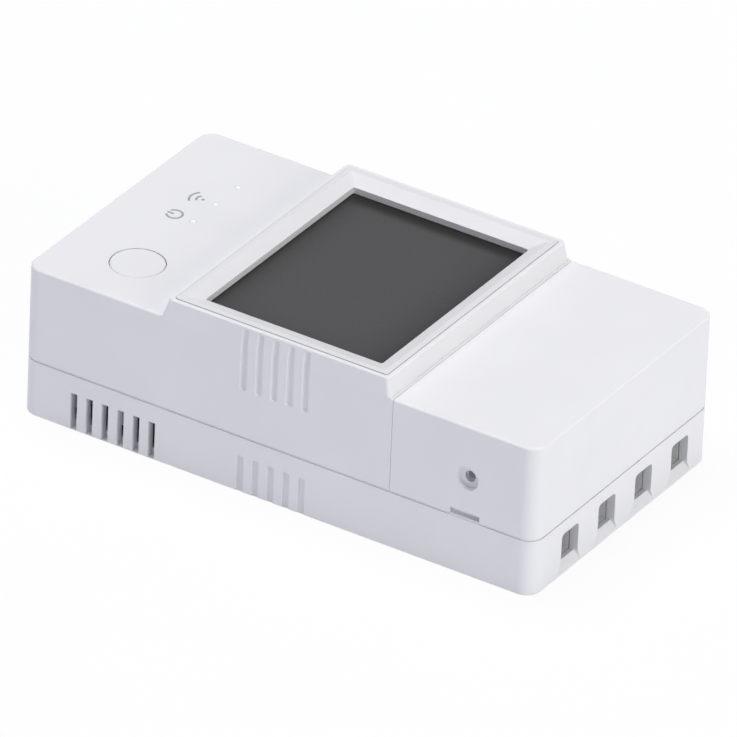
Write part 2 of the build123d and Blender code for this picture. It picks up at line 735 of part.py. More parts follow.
def terminal_cover():
    body = cover_outside() - case_slab(WALL, SEAM_Z - CUT, CEILING) - cover_rebate()
    body -= block(-LENGTH, SPLIT_X + COVER_GAP, -WIDTH, WIDTH, 0, TOTAL_HEIGHT)
    for side in SIDES:
        body -= side_screw_cuts(side)
    return body


# Display
def display_bezel():
    """Frame whose upper side slopes down to the window."""
    length = TURRET_LENGTH - 2 * (RIM_WIDTH + BEZEL_GAP)
    width = WIDTH - 2 * (TURRET_INSET_Y + RIM_WIDTH + BEZEL_GAP)
    top = TOTAL_HEIGHT + BEZEL_PROUD
    frame = plate(TURRET_CENTRE, length, width, VIEW_CORNER, LEDGE_TOP, top)
    hole = plate(TURRET_CENTRE, VIEW_LENGTH, VIEW_WIDTH, VIEW_CORNER, LEDGE_TOP - CUT, top + CUT)
    low_edge = RectangleRounded(VIEW_LENGTH, VIEW_WIDTH, VIEW_CORNER)
    low_edge = Pos(TURRET_CENTRE, 0, TOTAL_HEIGHT - BEZEL_INNER_DROP) * low_edge
    high_edge = RectangleRounded(length - 2 * BEZEL_FLAT, width - 2 * BEZEL_FLAT, VIEW_CORNER)
    high_edge = Pos(TURRET_CENTRE, 0, top) * high_edge
    return frame - hole - loft([low_edge, high_edge])


def display_window():
    length = LEDGE_OPENING_LENGTH - GLASS_MARGIN
    width = LEDGE_OPENING_WIDTH - GLASS_MARGIN
    return plate(TURRET_CENTRE, length, width, WINDOW_CORNER, GLASS_TOP, LEDGE_TOP)


def lcd_glass():
    x0, x1 = TURRET_CENTRE - GLASS_HALF_X, TURRET_CENTRE + GLASS_HALF_X
    return block(x0, x1, -GLASS_HALF_Y, GLASS_HALF_Y, GLASS_BOTTOM, GLASS_TOP)


def lcd_backlight():
    """Light box under the display, on four legs."""
    half_x = GLASS_HALF_X - BACKLIGHT_MARGIN
    half_y = PIN_ROW_Y - PIN_SIZE - PIN_MARGIN
    low = GLASS_BOTTOM - BACKLIGHT_THICKNESS
    x0, x1 = TURRET_CENTRE - half_x, TURRET_CENTRE + half_x
    body = block(x0, x1, -half_y, half_y, low, GLASS_BOTTOM)
    for x in (x0 + BACKLIGHT_LEG_INSET_X, x1 - BACKLIGHT_LEG_INSET_X):
        for side in SIDES:
            y = side * (half_y - BACKLIGHT_LEG_INSET_Y)
            body += post(x, y, BACKLIGHT_LEG_RADIUS, CONTROL_TOP, low + WELD)
    return body


def lcd_pins():
    """Two rows of pins from the display down to the control board."""
    half = PIN_SIZE / 2
    pins = []
    for x in row(TURRET_CENTRE - PIN_PITCH * (PINS_PER_ROW - 1) / 2, PIN_PITCH, PINS_PER_ROW):
        for y in (-PIN_ROW_Y, PIN_ROW_Y):
            pins.append(block(x - half, x + half, y - half, y + half, CONTROL_TOP, GLASS_BOTTOM))
    return Compound(children=pins)


# Button and lights
def button_cap():
    """Cap that stands flush in its hole, with a flange below the top and a stem on the switch."""
    flange_top = CEILING - BUTTON_FLANGE_DROP
    flange_low = flange_top - BUTTON_FLANGE_THICKNESS
    cap = post(BUTTON_X, BUTTON_Y, BUTTON_RADIUS, flange_low, BODY_HEIGHT)
    cap = fillet(edges_at(cap, BODY_HEIGHT), BUTTON_EDGE)
    cap += post(BUTTON_X, BUTTON_Y, BUTTON_RADIUS + BUTTON_FLANGE, flange_low, flange_top)
    return cap + post(BUTTON_X, BUTTON_Y, BUTTON_STEM_RADIUS, SWITCH_TOP + PLUNGER_HEIGHT, flange_top)


def tact_switch_body():
    half = SWITCH_SIZE / 2
    body = block(BUTTON_X - half, BUTTON_X + half, BUTTON_Y - half, BUTTON_Y + half, CONTROL_TOP, SWITCH_TOP)
    well_floor = SWITCH_TOP - PLUNGER_DEPTH - 2 * BUTTON_TRAVEL
    return body - post(BUTTON_X, BUTTON_Y, PLUNGER_RADIUS + PLUNGER_CLEARANCE, well_floor, SWITCH_TOP + CUT)


def tact_switch_plunger():
    return post(BUTTON_X, BUTTON_Y, PLUNGER_RADIUS, SWITCH_TOP - PLUNGER_DEPTH, SWITCH_TOP + PLUNGER_HEIGHT)


def light_pipe():
    """Clear bar under the top, with a post up through each light hole and a leg over each lamp."""
    ys = light_centres()
    half = LIGHT_BAR_WIDTH / 2
    low = CEILING - LIGHT_BAR_THICKNESS
    foot = CONTROL_TOP + LED_HEIGHT + LIGHT_LED_GAP
    body = block(BUTTON_X - half, BUTTON_X + half, ys[0] - half, ys[-1] + half, low, CEILING)
    for y in ys:
        body += post(BUTTON_X, y, LIGHT_RADIUS, low, BODY_HEIGHT)
        body += post(BUTTON_X, y, LIGHT_LEG_RADIUS, foot, low + WELD)
    return body


def status_leds():
    places = [(BUTTON_X, y, LED_LENGTH, LED_WIDTH, LED_HEIGHT) for y in light_centres()]
    return Compound(children=[component(place, CONTROL_TOP) for place in places])


# Boards
def control_board():
    x0, x1 = -INNER_X + BOARD_EDGE_GAP, PARTITION_X - CONTROL_BOARD_END_GAP
    y = INNER_Y - BOARD_EDGE_GAP
    board = block(x0, x1, -y, y, CONTROL_BOTTOM, CONTROL_TOP)
    for px, py in hang_screw_places():
        board -= post(px, py, HANG_SHANK_RADIUS + BOARD_HOLE_GAP, CONTROL_BOTTOM - CUT, CONTROL_TOP + CUT)
    return board


def main_board():
    """Board from the left end wall to the skirt of the terminal block."""
    x0, x1 = -INNER_X + BOARD_EDGE_GAP, BLOCK_FRONT - BLOCK_SKIRT - BLOCK_SKIRT_GAP
    y = INNER_Y - BOARD_EDGE_GAP
    board = block(x0, x1, -y, y, BOARD_TOP - BOARD_THICKNESS, BOARD_TOP)
    for px, py in case_screw_places():
        board -= post(px, py, CASE_TUBE_RADIUS + BOARD_HOLE_GAP, 0, SEAM_Z)
    half = POST_LENGTH / 2 + BOARD_HOLE_GAP
    inner = INNER_Y - POST_DEPTH - BOARD_HOLE_GAP
    for side in SIDES:
        board -= block(COVER_SCREW_X - half, COVER_SCREW_X + half, side * inner, side * HALF_WIDTH, 0, SEAM_Z)
    return board


def link_strip(z0, z1):
    """Block round the row of link pins."""
    ys = link_centres()
    half = LINK_STRIP / 2
    return block(LINK_X - half, LINK_X + half, ys[0] - half, ys[-1] + half, z0, z1)


def link_bars(size, z0, z1):
    """Square bars at the link pins' places."""
    half = size / 2
    return [block(LINK_X - half, LINK_X + half, y - half, y + half, z0, z1) for y in link_centres()]


def link_header():
    """Pin strip on the main board, whose pins reach up into the control board's socket."""
    tip = CONTROL_BOTTOM - LINK_SOCKET_HEIGHT + LINK_ENGAGEMENT
    return link_strip(BOARD_TOP, BOARD_TOP + LINK_STRIP) + link_bars(LINK_PIN_SIZE, BOARD_TOP, tip)


def link_socket():
    low = CONTROL_BOTTOM - LINK_SOCKET_HEIGHT
    hole = LINK_PIN_SIZE + 2 * LINK_HOLE_CLEARANCE
    return link_strip(low, CONTROL_BOTTOM) - link_bars(hole, low - CUT, CONTROL_BOTTOM - LINK_HOLE_ROOF)


# Screws driven upwards
def screw_from_below(x, y, head_radius, head_thickness, shank_radius, seat, tip):
    """Flat-headed screw with a cross recess, its head against the height seat."""
    low = seat - head_thickness
    screw = post(x, y, head_radius, low, seat) + post(x, y, shank_radius, seat - WELD, tip)
    arm = head_radius * CROSS_LENGTH_RATIO
    deep = 2 * CROSS_DEPTH
    return screw - Pos(x, y, low) * (Box(arm, CROSS_WIDTH, deep) + Box(CROSS_WIDTH, arm, deep))


def case_screws():
    size = (CASE_HEAD_RADIUS, CASE_HEAD_THICKNESS, CASE_SHANK_RADIUS, CASE_SEAT_Z, CASE_SCREW_TIP)
    return Compound(children=[screw_from_below(x, y, *size) for x, y in case_screw_places()])


def control_board_screws():
    size = (HANG_HEAD_RADIUS, HANG_HEAD_THICKNESS, HANG_SHANK_RADIUS, CONTROL_BOTTOM, HANG_SCREW_TIP)
    return Compound(children=[screw_from_below(x, y, *size) for x, y in hang_screw_places()])


# Terminal block
def terminal_chamber(y):
    """Hollow for one clamp, its busbar, its screw and its wire."""
    half = CLAMP_WIDTH / 2 + CLAMP_CLEARANCE
    x0, x1 = CLAMP_X0 - CLAMP_CLEARANCE, CLAMP_X1 + CLAMP_CLEARANCE
    room = block(x0, x1, y - half, y + half, BOARD_TOP - CUT, CHAMBER_TOP)
    wire = PORT_WIDTH / 2
    mouth = block(CLAMP_X1, BLOCK_FRONT + CUT, y - wire, y + wire, CLAMP_FOOT + CLAMP_CLEARANCE, BUSBAR_Z)
    skirt_x = BLOCK_FRONT - BLOCK_SKIRT
    mouth += block(skirt_x, BLOCK_FRONT + CUT, y - wire, y + wire, PORT_BOTTOM_Z, BUSBAR_Z)
    gap = BUSBAR_CLEARANCE
    y0, y1 = y - BUSBAR_HALF_WIDTH - gap, y + BUSBAR_HALF_WIDTH + gap
    slot = block(BUSBAR_X0 - gap, BUSBAR_X1 + gap, y0, y1, BUSBAR_Z - gap, BUSBAR_TOP + gap)
    leg = block(BUSBAR_X0 - gap, BUSBAR_X0 + BUSBAR_THICKNESS + gap, y0, y1, BOARD_TOP - CUT, BUSBAR_Z)
    top = BOARD_TOP + BLOCK_HEIGHT + CUT
    well = post(CLAMP_X, y, TERMINAL_HEAD_RADIUS + TERMINAL_HEAD_GAP, CHAMBER_TOP - WELD, top)
    return [room, mouth, slot, leg, well]


def terminal_block():
    ys = port_centres()
    y0, y1 = ys[0] - BLOCK_END_MARGIN, ys[-1] + BLOCK_END_MARGIN
    body = block(BLOCK_FRONT - BLOCK_LENGTH, BLOCK_FRONT, y0, y1, BOARD_TOP, BOARD_TOP + BLOCK_STEP_HEIGHT)
    body += block(BLOCK_FRONT - BLOCK_TOWER_LENGTH, BLOCK_FRONT, y0, y1, BOARD_TOP, BOARD_TOP + BLOCK_HEIGHT)
    foot = FLOOR + BLOCK_FOOT_GAP
    body += block(BLOCK_FRONT - BLOCK_SKIRT, BLOCK_FRONT, y0, y1, foot, BOARD_TOP + WELD)
    for y in ys:
        body -= terminal_chamber(y)
    return body


def busbar(y):
    """Flat bar through the clamp, with a leg down to the main board."""
    y0, y1 = y - BUSBAR_HALF_WIDTH, y + BUSBAR_HALF_WIDTH
    flat = block(BUSBAR_X0, BUSBAR_X1, y0, y1, BUSBAR_Z, BUSBAR_TOP)
    return flat + block(BUSBAR_X0, BUSBAR_X0 + BUSBAR_THICKNESS, y0, y1, BOARD_TOP, BUSBAR_TOP)


def wire_clamp(y):
    """Square loop of a rising clamp, with the screw's hole in its head."""
    half = CLAMP_WIDTH / 2
    inner = half - CLAMP_WALL
    body = block(CLAMP_X0, CLAMP_X1, y - half, y + half, CLAMP_FOOT, CLAMP_TOP)
    body -= block(CLAMP_X0 - CUT, CLAMP_X1 + CUT, y - inner, y + inner, WIRE_FLOOR, CLAMP_HEAD_Z)
    hole_radius = TERMINAL_SCREW_RADIUS + TERMINAL_SCREW_CLEARANCE
    return body - post(CLAMP_X, y, hole_radius, CLAMP_HEAD_Z - WELD, CLAMP_TOP + CUT)


def terminal_screw(y):
    """Slotted screw that turns in place and lifts the clamp."""
    head_z = CHAMBER_TOP + TERMINAL_HEAD_LIFT
    top = head_z + TERMINAL_HEAD_THICKNESS
    body = post(CLAMP_X, y, TERMINAL_SCREW_RADIUS, BUSBAR_TOP, head_z + WELD)
    body += post(CLAMP_X, y, TERMINAL_HEAD_RADIUS, head_z, top)
    half = SLOT_WIDTH / 2
    reach = TERMINAL_HEAD_RADIUS + CUT
    return body - block(CLAMP_X - reach, CLAMP_X + reach, y - half, y + half, top - SLOT_DEPTH, top + CUT)


# Sensor socket
def sensor_jack():
    half, plug, latch = JACK_WIDTH / 2, PLUG_WIDTH / 2, LATCH_WIDTH / 2
    body = block(JACK_X0, JACK_X0 + JACK_LENGTH, -half, half, BOARD_TOP, BOARD_TOP + JACK_HEIGHT)
    body -= block(JACK_X0 - CUT, PLUG_END, -plug, plug, PLUG_BOTTOM, PLUG_TOP)
    return body - block(JACK_X0 - CUT, PLUG_END, -latch, latch, PLUG_BOTTOM, PLUG_TOP + LATCH_HEIGHT)


def sensor_contacts():
    half = CONTACT_SIZE / 2
    x0, top = PLUG_END - CONTACT_LENGTH, PLUG_BOTTOM + CONTACT_SIZE
    ys = row(-CONTACT_PITCH * (CONTACT_COUNT - 1) / 2, CONTACT_PITCH, CONTACT_COUNT)
    return Compound(children=[block(x0, PLUG_END, y - half, y + half, PLUG_BOTTOM, top) for y in ys])


# Relay
def relay_block(x0, x1, width, z0, z1):
    """Block in the relay's own frame: x from its end, z from the board."""
    y0, y1 = RELAY_Y - width / 2, RELAY_Y + width / 2
    return block(RELAY_X + x0, RELAY_X + x1, y0, y1, BOARD_TOP + z0, BOARD_TOP + z1)


def relay_bar(x0, x1, radius):
    """Round bar on the coil's axis."""
    return bar_along_x(RELAY_X + x0, RELAY_X + x1, RELAY_Y, BOARD_TOP + RELAY_AXIS_HEIGHT, radius)


def relay_rivet(z0, z1):
    """Contact rivet between two heights above the board."""
    return post(RELAY_X + RIVET_X, RELAY_Y, RIVET_RADIUS, BOARD_TOP + z0, BOARD_TOP + z1)


def relay_case():
    wall = RELAY_WALL
    outer = relay_block(0, RELAY_LENGTH, RELAY_WIDTH, RELAY_CASE_LIFT, RELAY_HEIGHT)
    outer = fillet(outer.edges().group_by(Axis.Z)[-1], RELAY_EDGE)
    return outer - relay_block(wall, RELAY_LENGTH - wall, RELAY_WIDTH - 2 * wall, 0, RELAY_HEIGHT - wall)


def relay_base():
    inset = RELAY_WALL + RELAY_FIT
    return relay_block(inset, RELAY_LENGTH - inset, RELAY_WIDTH - 2 * inset, 0, RELAY_BASE_HEIGHT)


def relay_bobbin():
    """Tube with two flanges between the relay's base and its yoke."""
    top = YOKE_TOP - YOKE_THICKNESS
    width = 2 * (COIL_RADIUS + BOBBIN_FLANGE_MARGIN)
    body = relay_block(BOBBIN_START, BOBBIN_START + BOBBIN_FLANGE, width, RELAY_BASE_HEIGHT, top)
    body += relay_block(BOBBIN_END - BOBBIN_FLANGE, BOBBIN_END, width, RELAY_BASE_HEIGHT, top)
    body += relay_bar(BOBBIN_START, BOBBIN_END, BOBBIN_TUBE_RADIUS)
    return body - relay_bar(BOBBIN_START - CUT, BOBBIN_END + CUT, CORE_RADIUS + CORE_CLEARANCE)


def relay_coil():
    x0, x1 = BOBBIN_START + BOBBIN_FLANGE + RELAY_FIT, BOBBIN_END - BOBBIN_FLANGE - RELAY_FIT
    return relay_bar(x0, x1, COIL_RADIUS) - relay_bar(x0 - CUT, x1 + CUT, BOBBIN_TUBE_RADIUS + RELAY_FIT)


def relay_yoke():
    """Bent iron frame with the coil's core riveted to its upright."""
    body = relay_block(YOKE_START, YOKE_START + YOKE_THICKNESS, YOKE_WIDTH, RELAY_BASE_HEIGHT, YOKE_TOP)
    body += relay_block(YOKE_START, YOKE_END, YOKE_WIDTH, YOKE_TOP - YOKE_THICKNESS, YOKE_TOP)
    return body + relay_bar(YOKE_START + WELD, CORE_END, CORE_RADIUS)


def relay_armature():
    """Angled lever that the core pulls in, with the moving contact on its arm."""
    arm_low = ARMATURE_TOP - ARM_THICKNESS
    leg_end = ARMATURE_START + ARMATURE_THICKNESS
    body = relay_block(ARMATURE_START, leg_end, YOKE_WIDTH, ARMATURE_BOTTOM, ARMATURE_TOP)
    body += relay_block(ARMATURE_START, ARM_END, ARM_WIDTH, arm_low, ARMATURE_TOP)
    return body + relay_rivet(arm_low - RIVET_HEIGHT, arm_low + WELD)


def relay_contact():
    """Fixed contact on its blade, below the moving one."""
    top = ARMATURE_TOP - ARM_THICKNESS - RIVET_HEIGHT - CONTACT_GAP
    tab = top - FIXED_RIVET_HEIGHT
    blade, half = CONTACT_BLADE / 2, CONTACT_TAB_LENGTH / 2
    body = relay_block(RIVET_X - blade, RIVET_X + blade, CONTACT_TAB_WIDTH, RELAY_BASE_HEIGHT, tab)
    body += relay_block(RIVET_X - half, RIVET_X + half, CONTACT_TAB_WIDTH, tab - CONTACT_TAB_THICKNESS, tab)
    return body + relay_rivet(tab - WELD, top)


# Transformer
def transformer_block(x0, x1, width, z0, z1):
    """Block centred across the transformer, z from the board."""
    y0, y1 = TRANSFORMER_Y - width / 2, TRANSFORMER_Y + width / 2
    return block(x0, x1, y0, y1, BOARD_TOP + z0, BOARD_TOP + z1)


def transformer_core():
    half = FERRITE_LENGTH / 2
    top = FORMER_HEIGHT + FERRITE_HEIGHT
    body = transformer_block(-half, half, FERRITE_WIDTH, FORMER_HEIGHT, top)
    for side in SIDES:
        x0, x1 = side * FERRITE_CENTRE_LEG / 2, side * (half - FERRITE_LEG)
        body -= transformer_block(x0, x1, FERRITE_WIDTH + CUT, FORMER_HEIGHT + FERRITE_LEG, top - FERRITE_LEG)
    return body


def transformer_winding():
    low = FORMER_HEIGHT + FERRITE_LEG + WINDING_GAP
    top = FORMER_HEIGHT + FERRITE_HEIGHT - FERRITE_LEG - WINDING_GAP
    half, hole = WINDING_LENGTH / 2, FERRITE_CENTRE_LEG / 2 + WINDING_GAP
    body = transformer_block(-half, half, WINDING_WIDTH, low, top)
    body = fillet(body.edges().filter_by(Axis.Z), WINDING_CORNER)
    return body - transformer_block(-hole, hole, FERRITE_WIDTH + 2 * WINDING_GAP, low - CUT, top + CUT)


def transformer_former():
    return transformer_block(-FERRITE_LENGTH / 2, FERRITE_LENGTH / 2, FORMER_WIDTH, 0, FORMER_HEIGHT)


# Other parts on the main board
def bulk_capacitors():
    top = BOARD_TOP + CAPACITOR_HEIGHT
    cans = [post(CAPACITOR_X, y, CAPACITOR_RADIUS, BOARD_TOP, top)
            for y in row(CAPACITOR_FIRST_Y, CAPACITOR_PITCH, CAPACITOR_COUNT)]
    return Compound(children=[fillet(edges_at(can, top), CAPACITOR_EDGE) for can in cans])


def varistor():
    half = VARISTOR_THICKNESS / 2
    z = BOARD_TOP + VARISTOR_LIFT + VARISTOR_RADIUS
    disc = bar_along_x(VARISTOR_X - half, VARISTOR_X + half, VARISTOR_Y, z, VARISTOR_RADIUS)
    disc = fillet(disc.edges().filter_by(GeomType.CIRCLE), VARISTOR_EDGE)
    for side in SIDES:
        disc += post(VARISTOR_X, VARISTOR_Y + side * VARISTOR_RADIUS / 2, LEAD_RADIUS, BOARD_TOP, z)
    return disc


def fuse_resistor():
    z = BOARD_TOP + FUSE_LIFT + FUSE_RADIUS
    x0, x1 = FUSE_X - FUSE_LEAD_REACH, FUSE_X + FUSE_LENGTH + FUSE_LEAD_REACH
    body = bar_along_x(FUSE_X, FUSE_X + FUSE_LENGTH, FUSE_Y, z, FUSE_RADIUS)
    body += bar_along_x(x0, x1, FUSE_Y, z, LEAD_RADIUS)
    return body + [post(x, FUSE_Y, LEAD_RADIUS, BOARD_TOP, z) for x in (x0, x1)]


def choke():
    """Drum with its winding sunk between two flanges."""
    top = BOARD_TOP + CHOKE_HEIGHT
    body = post(CHOKE_X, CHOKE_Y, CHOKE_RADIUS - CHOKE_WAIST_DEPTH, BOARD_TOP, top)
    body += post(CHOKE_X, CHOKE_Y, CHOKE_RADIUS, BOARD_TOP, BOARD_TOP + CHOKE_FLANGE)
    return body + post(CHOKE_X, CHOKE_Y, CHOKE_RADIUS, top - CHOKE_FLANGE, top)


def driver_chips():
    return Compound(children=[component(chip, BOARD_TOP) for chip in (SUPPLY_CHIP, METER_CHIP, RELAY_CHIP)])


def radio_shield():
    shield = component(RADIO_SHIELD, BOARD_TOP + RADIO_BOARD_THICKNESS)
    return fillet(shield.edges().filter_by(Axis.Z), SHIELD_CORNER)


save("base_shell", base_shell())
save("main_cover", main_cover())
save("terminal_cover", terminal_cover())
save("display_bezel", display_bezel())
save("display_window", display_window())
save("lcd_glass", lcd_glass())
save("lcd_backlight", lcd_backlight())
save("lcd_pins", lcd_pins())
save("button_cap", button_cap())
save("tact_switch_body", tact_switch_body())
save("tact_switch_plunger", tact_switch_plunger())
save("light_pipe", light_pipe())
save("status_leds", status_leds())
save("control_board", control_board())
save("main_board", main_board())
save("link_header", link_header())
save("link_socket", link_socket())
save("case_screws", case_screws())
save("control_board_screws", control_board_screws())
save("terminal_block", terminal_block())
save("busbars", Compound(children=[busbar(y) for y in port_centres()]))
for number, port_y in enumerate(port_centres(), start=1):
    save(f"wire_clamp_{number}", wire_clamp(port_y))
    save(f"terminal_screw_{number}", terminal_screw(port_y))
save("sensor_jack", sensor_jack())
save("sensor_contacts", sensor_contacts())
save("relay_case", relay_case())
save("relay_base", relay_base())
save("relay_bobbin", relay_bobbin())
save("relay_coil", relay_coil())
save("relay_yoke", relay_yoke())
save("relay_armature", relay_armature())
save("relay_contact", relay_contact())
save("transformer_core", transformer_core())
save("transformer_winding", transformer_winding())
save("transformer_former", transformer_former())
save("bulk_capacitors", bulk_capacitors())
save("film_capacitor", component(FILM_CAPACITOR, BOARD_TOP))
save("varistor", varistor())
save("fuse_resistor", fuse_resistor())
save("choke", choke())
save("bridge_rectifier", component(RECTIFIER, BOARD_TOP))
save("driver_chips", driver_chips())
save("radio_board", component(RADIO_BOARD, BOARD_TOP))
save("radio_shield", radio_shield())
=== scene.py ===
import json
import math

import bmesh
import bpy
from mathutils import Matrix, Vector


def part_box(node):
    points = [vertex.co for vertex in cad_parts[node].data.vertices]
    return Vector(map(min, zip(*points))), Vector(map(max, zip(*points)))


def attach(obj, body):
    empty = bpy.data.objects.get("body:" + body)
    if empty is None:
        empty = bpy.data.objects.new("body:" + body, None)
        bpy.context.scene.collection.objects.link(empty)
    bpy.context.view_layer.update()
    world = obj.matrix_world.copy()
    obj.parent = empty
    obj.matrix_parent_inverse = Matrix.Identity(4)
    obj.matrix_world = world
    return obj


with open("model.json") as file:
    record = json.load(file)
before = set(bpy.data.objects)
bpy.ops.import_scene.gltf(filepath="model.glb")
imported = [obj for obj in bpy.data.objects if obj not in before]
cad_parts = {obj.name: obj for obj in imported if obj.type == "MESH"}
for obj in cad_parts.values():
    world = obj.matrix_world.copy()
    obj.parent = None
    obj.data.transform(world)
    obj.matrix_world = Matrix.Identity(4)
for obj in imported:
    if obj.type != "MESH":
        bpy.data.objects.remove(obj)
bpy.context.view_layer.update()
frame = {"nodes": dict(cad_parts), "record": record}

# Looks of a smart switch: a material for each piece, two printed signs on its flat top, and a plain studio.
# Lengths are in metres, so sizes are written in millimetres times MM.
MM = 0.001

# Height of the case's flat top, and the corners of the bezel's box, from the frame
FLAT_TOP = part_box("terminal_cover")[1].z
BEZEL_LOW, BEZEL_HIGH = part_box("display_bezel")

# The bezel's opening over the window
VIEW_LENGTH = 33.7 * MM
VIEW_WIDTH = 44.1 * MM
VIEW_MIDDLE = (BEZEL_LOW + BEZEL_HIGH) / 2
VIEW_LEFT = VIEW_MIDDLE.x - VIEW_LENGTH / 2
VIEW_RIGHT = VIEW_MIDDLE.x + VIEW_LENGTH / 2
VIEW_FRONT = VIEW_MIDDLE.y - VIEW_WIDTH / 2
VIEW_BACK = VIEW_MIDDLE.y + VIEW_WIDTH / 2

# Tools for materials
# Most values of a noise texture lie between these two, and it has this many finer layers
NOISE_LOW = 0.3
NOISE_HIGH = 0.7
NOISE_DETAIL = 2.0
# Rays that the bevel shader casts to find how near an edge is
EDGE_SAMPLES = 6
# Widths in millimetres of the slow drifts in a moulding's colour and gloss
COLOUR_DRIFT = 14
GLOSS_DRIFT = 3
# How far roughness drifts below and above its middle
PLASTIC_SPREAD = (0.05, 0.05)
METAL_SPREAD = (0.06, 0.08)


def linear(code):
    """sRGB hex to the linear colour that the shader sockets take."""
    channels = [int(code[i:i + 2], 16) / 255 for i in (1, 3, 5)]
    return [c / 12.92 if c <= 0.04045 else ((c + 0.055) / 1.055) ** 2.4 for c in channels] + [1.0]


def noise_scale(size):
    """Scale of a noise texture whose marks are size millimetres wide."""
    return 1 / (size * MM)


def band_scale(pitch):
    """Scale of a wave texture whose bands repeat every pitch millimetres."""
    return math.pi / 10 / (pitch * MM)


def add(owner, kind, settings=None, values=None, links=None):
    """One node of a material or the world: settings are its properties, values its socket values and
    links its socket sources."""
    node = owner.node_tree.nodes.new(kind)
    for key, value in (settings or {}).items():
        setattr(node, key, value)
    for key, value in (values or {}).items():
        node.inputs[key].default_value = value
    for key, source in (links or {}).items():
        owner.node_tree.links.new(source, node.inputs[key])
    return node


def new_material(name, **values):
    """New material with its shader, and the place on the object in metres that its patterns start from."""
    material = bpy.data.materials.new(name)
    material.use_nodes = True
    material.node_tree.nodes.clear()
    shader = add(material, "ShaderNodeBsdfPrincipled", values=values)
    add(material, "ShaderNodeOutputMaterial", links={"Surface": shader.outputs["BSDF"]})
    place = add(material, "ShaderNodeTexCoord").outputs["Object"]
    return material, shader, place


def marks(material, place, size):
    """Pattern of soft irregular marks, size millimetres wide."""
    noise = add(material, "ShaderNodeTexNoise", values={"Scale": noise_scale(size), "Detail": NOISE_DETAIL},
                links={"Vector": place})
    return noise.outputs["Fac"]


def tone(material, shader, pattern, low, high, start=NOISE_LOW, end=NOISE_HIGH):
    """Colour that drifts between two hex values with the pattern."""
    ramp = add(material, "ShaderNodeValToRGB", links={"Fac": pattern})
    ramp.color_ramp.elements[0].position = start
    ramp.color_ramp.elements[0].color = linear(low)
    ramp.color_ramp.elements[1].position = end
    ramp.color_ramp.elements[1].color = linear(high)
    material.node_tree.links.new(ramp.outputs["Color"], shader.inputs["Base Color"])


def gloss(material, shader, pattern, low, high):
    """Roughness that drifts between two values with the pattern."""
    spread = add(material, "ShaderNodeMapRange",
                 values={"From Min": NOISE_LOW, "From Max": NOISE_HIGH, "To Min": low, "To Max": high},
                 links={"Value": pattern})
    material.node_tree.links.new(spread.outputs["Result"], shader.inputs["Roughness"])


def relief(material, shader, pattern, depth, round_edge=0.0):
    """Surface relief depth millimetres high, and edges shaded as if rounded by round_edge millimetres."""
    bump = add(material, "ShaderNodeBump", values={"Distance": depth * MM, "Strength": 1.0},
               links={"Height": pattern})
    if round_edge:
        edge = add(material, "ShaderNodeBevel", {"samples": EDGE_SAMPLES}, {"Radius": round_edge * MM})
        material.node_tree.links.new(edge.outputs["Normal"], bump.inputs["Normal"])
    material.node_tree.links.new(bump.outputs["Normal"], shader.inputs["Normal"])


def moulded(name, low, high, rough, grain, depth, round_edge=0.0, ior=1.53):
    """Moulded or cast piece: an even colour that drifts slowly, and a grain whose width and depth are in
    millimetres. A real grain that is too fine to show is drawn 0.15 mm wide or more."""
    material, shader, place = new_material(name, IOR=ior)
    tone(material, shader, marks(material, place, COLOUR_DRIFT), low, high)
    gloss(material, shader, marks(material, place, GLOSS_DRIFT),
          low=rough - PLASTIC_SPREAD[0], high=rough + PLASTIC_SPREAD[1])
    relief(material, shader, marks(material, place, grain), depth, round_edge)
    return material


def metal(name, low, high, rough, stretch, size, depth):
    """Bare or plated metal with the marks that rolling or turning leaves: size millimetres wide, divided
    along each axis by stretch. Real marks are too fine to show, so these are 0.15 mm wide or more."""
    material, shader, place = new_material(name, Metallic=1.0)
    drawn = add(material, "ShaderNodeMapping", values={"Scale": stretch}, links={"Vector": place})
    pattern = marks(material, drawn.outputs["Vector"], size)
    tone(material, shader, pattern, low, high)
    gloss(material, shader, pattern, low=rough - METAL_SPREAD[0], high=rough + METAL_SPREAD[1])
    relief(material, shader, pattern, depth)
    return material


def coated_board(name, low, high):
    """Glass-fibre board under solder mask: the weave is a faint 0.5 mm check under a semi-gloss coat."""
    material, shader, place = new_material(name, IOR=1.5)
    warp, weft = [add(material, "ShaderNodeTexWave", {"wave_type": "BANDS", "bands_direction": axis},
                      {"Scale": band_scale(0.5), "Distortion": 0.4}, {"Vector": place}) for axis in "XY"]
    check = add(material, "ShaderNodeMath", {"operation": "MULTIPLY"},
                links={0: warp.outputs["Fac"], 1: weft.outputs["Fac"]}).outputs["Value"]
    tone(material, shader, check, low, high, start=0.0, end=1.0)
    gloss(material, shader, marks(material, place, 4), low=0.32, high=0.42)
    relief(material, shader, check, depth=0.004)
    return material


# Materials
def spark_textured_abs():
    """White ABS from a spark-eroded mould: satin, with a fine even grain that softens every highlight.
    The real grain is too fine to show, so it is drawn 0.2 mm wide and 2 micrometres high."""
    return moulded("spark_textured_abs", "#E3E3E7", "#E6E6EA", rough=0.46, grain=0.2, depth=0.002,
                   round_edge=0.12)


def smooth_abs():
    """The bezel's white ABS, from a smoother mould, with a slightly sharper sheen. Its colour is a shade
    darker than the case's, which is painted shade for the bezel's sunken slopes.
    """
    return moulded("smooth_abs", "#DADADE", "#DDDDE1", rough=0.38, grain=0.3, depth=0.001, round_edge=0.1)
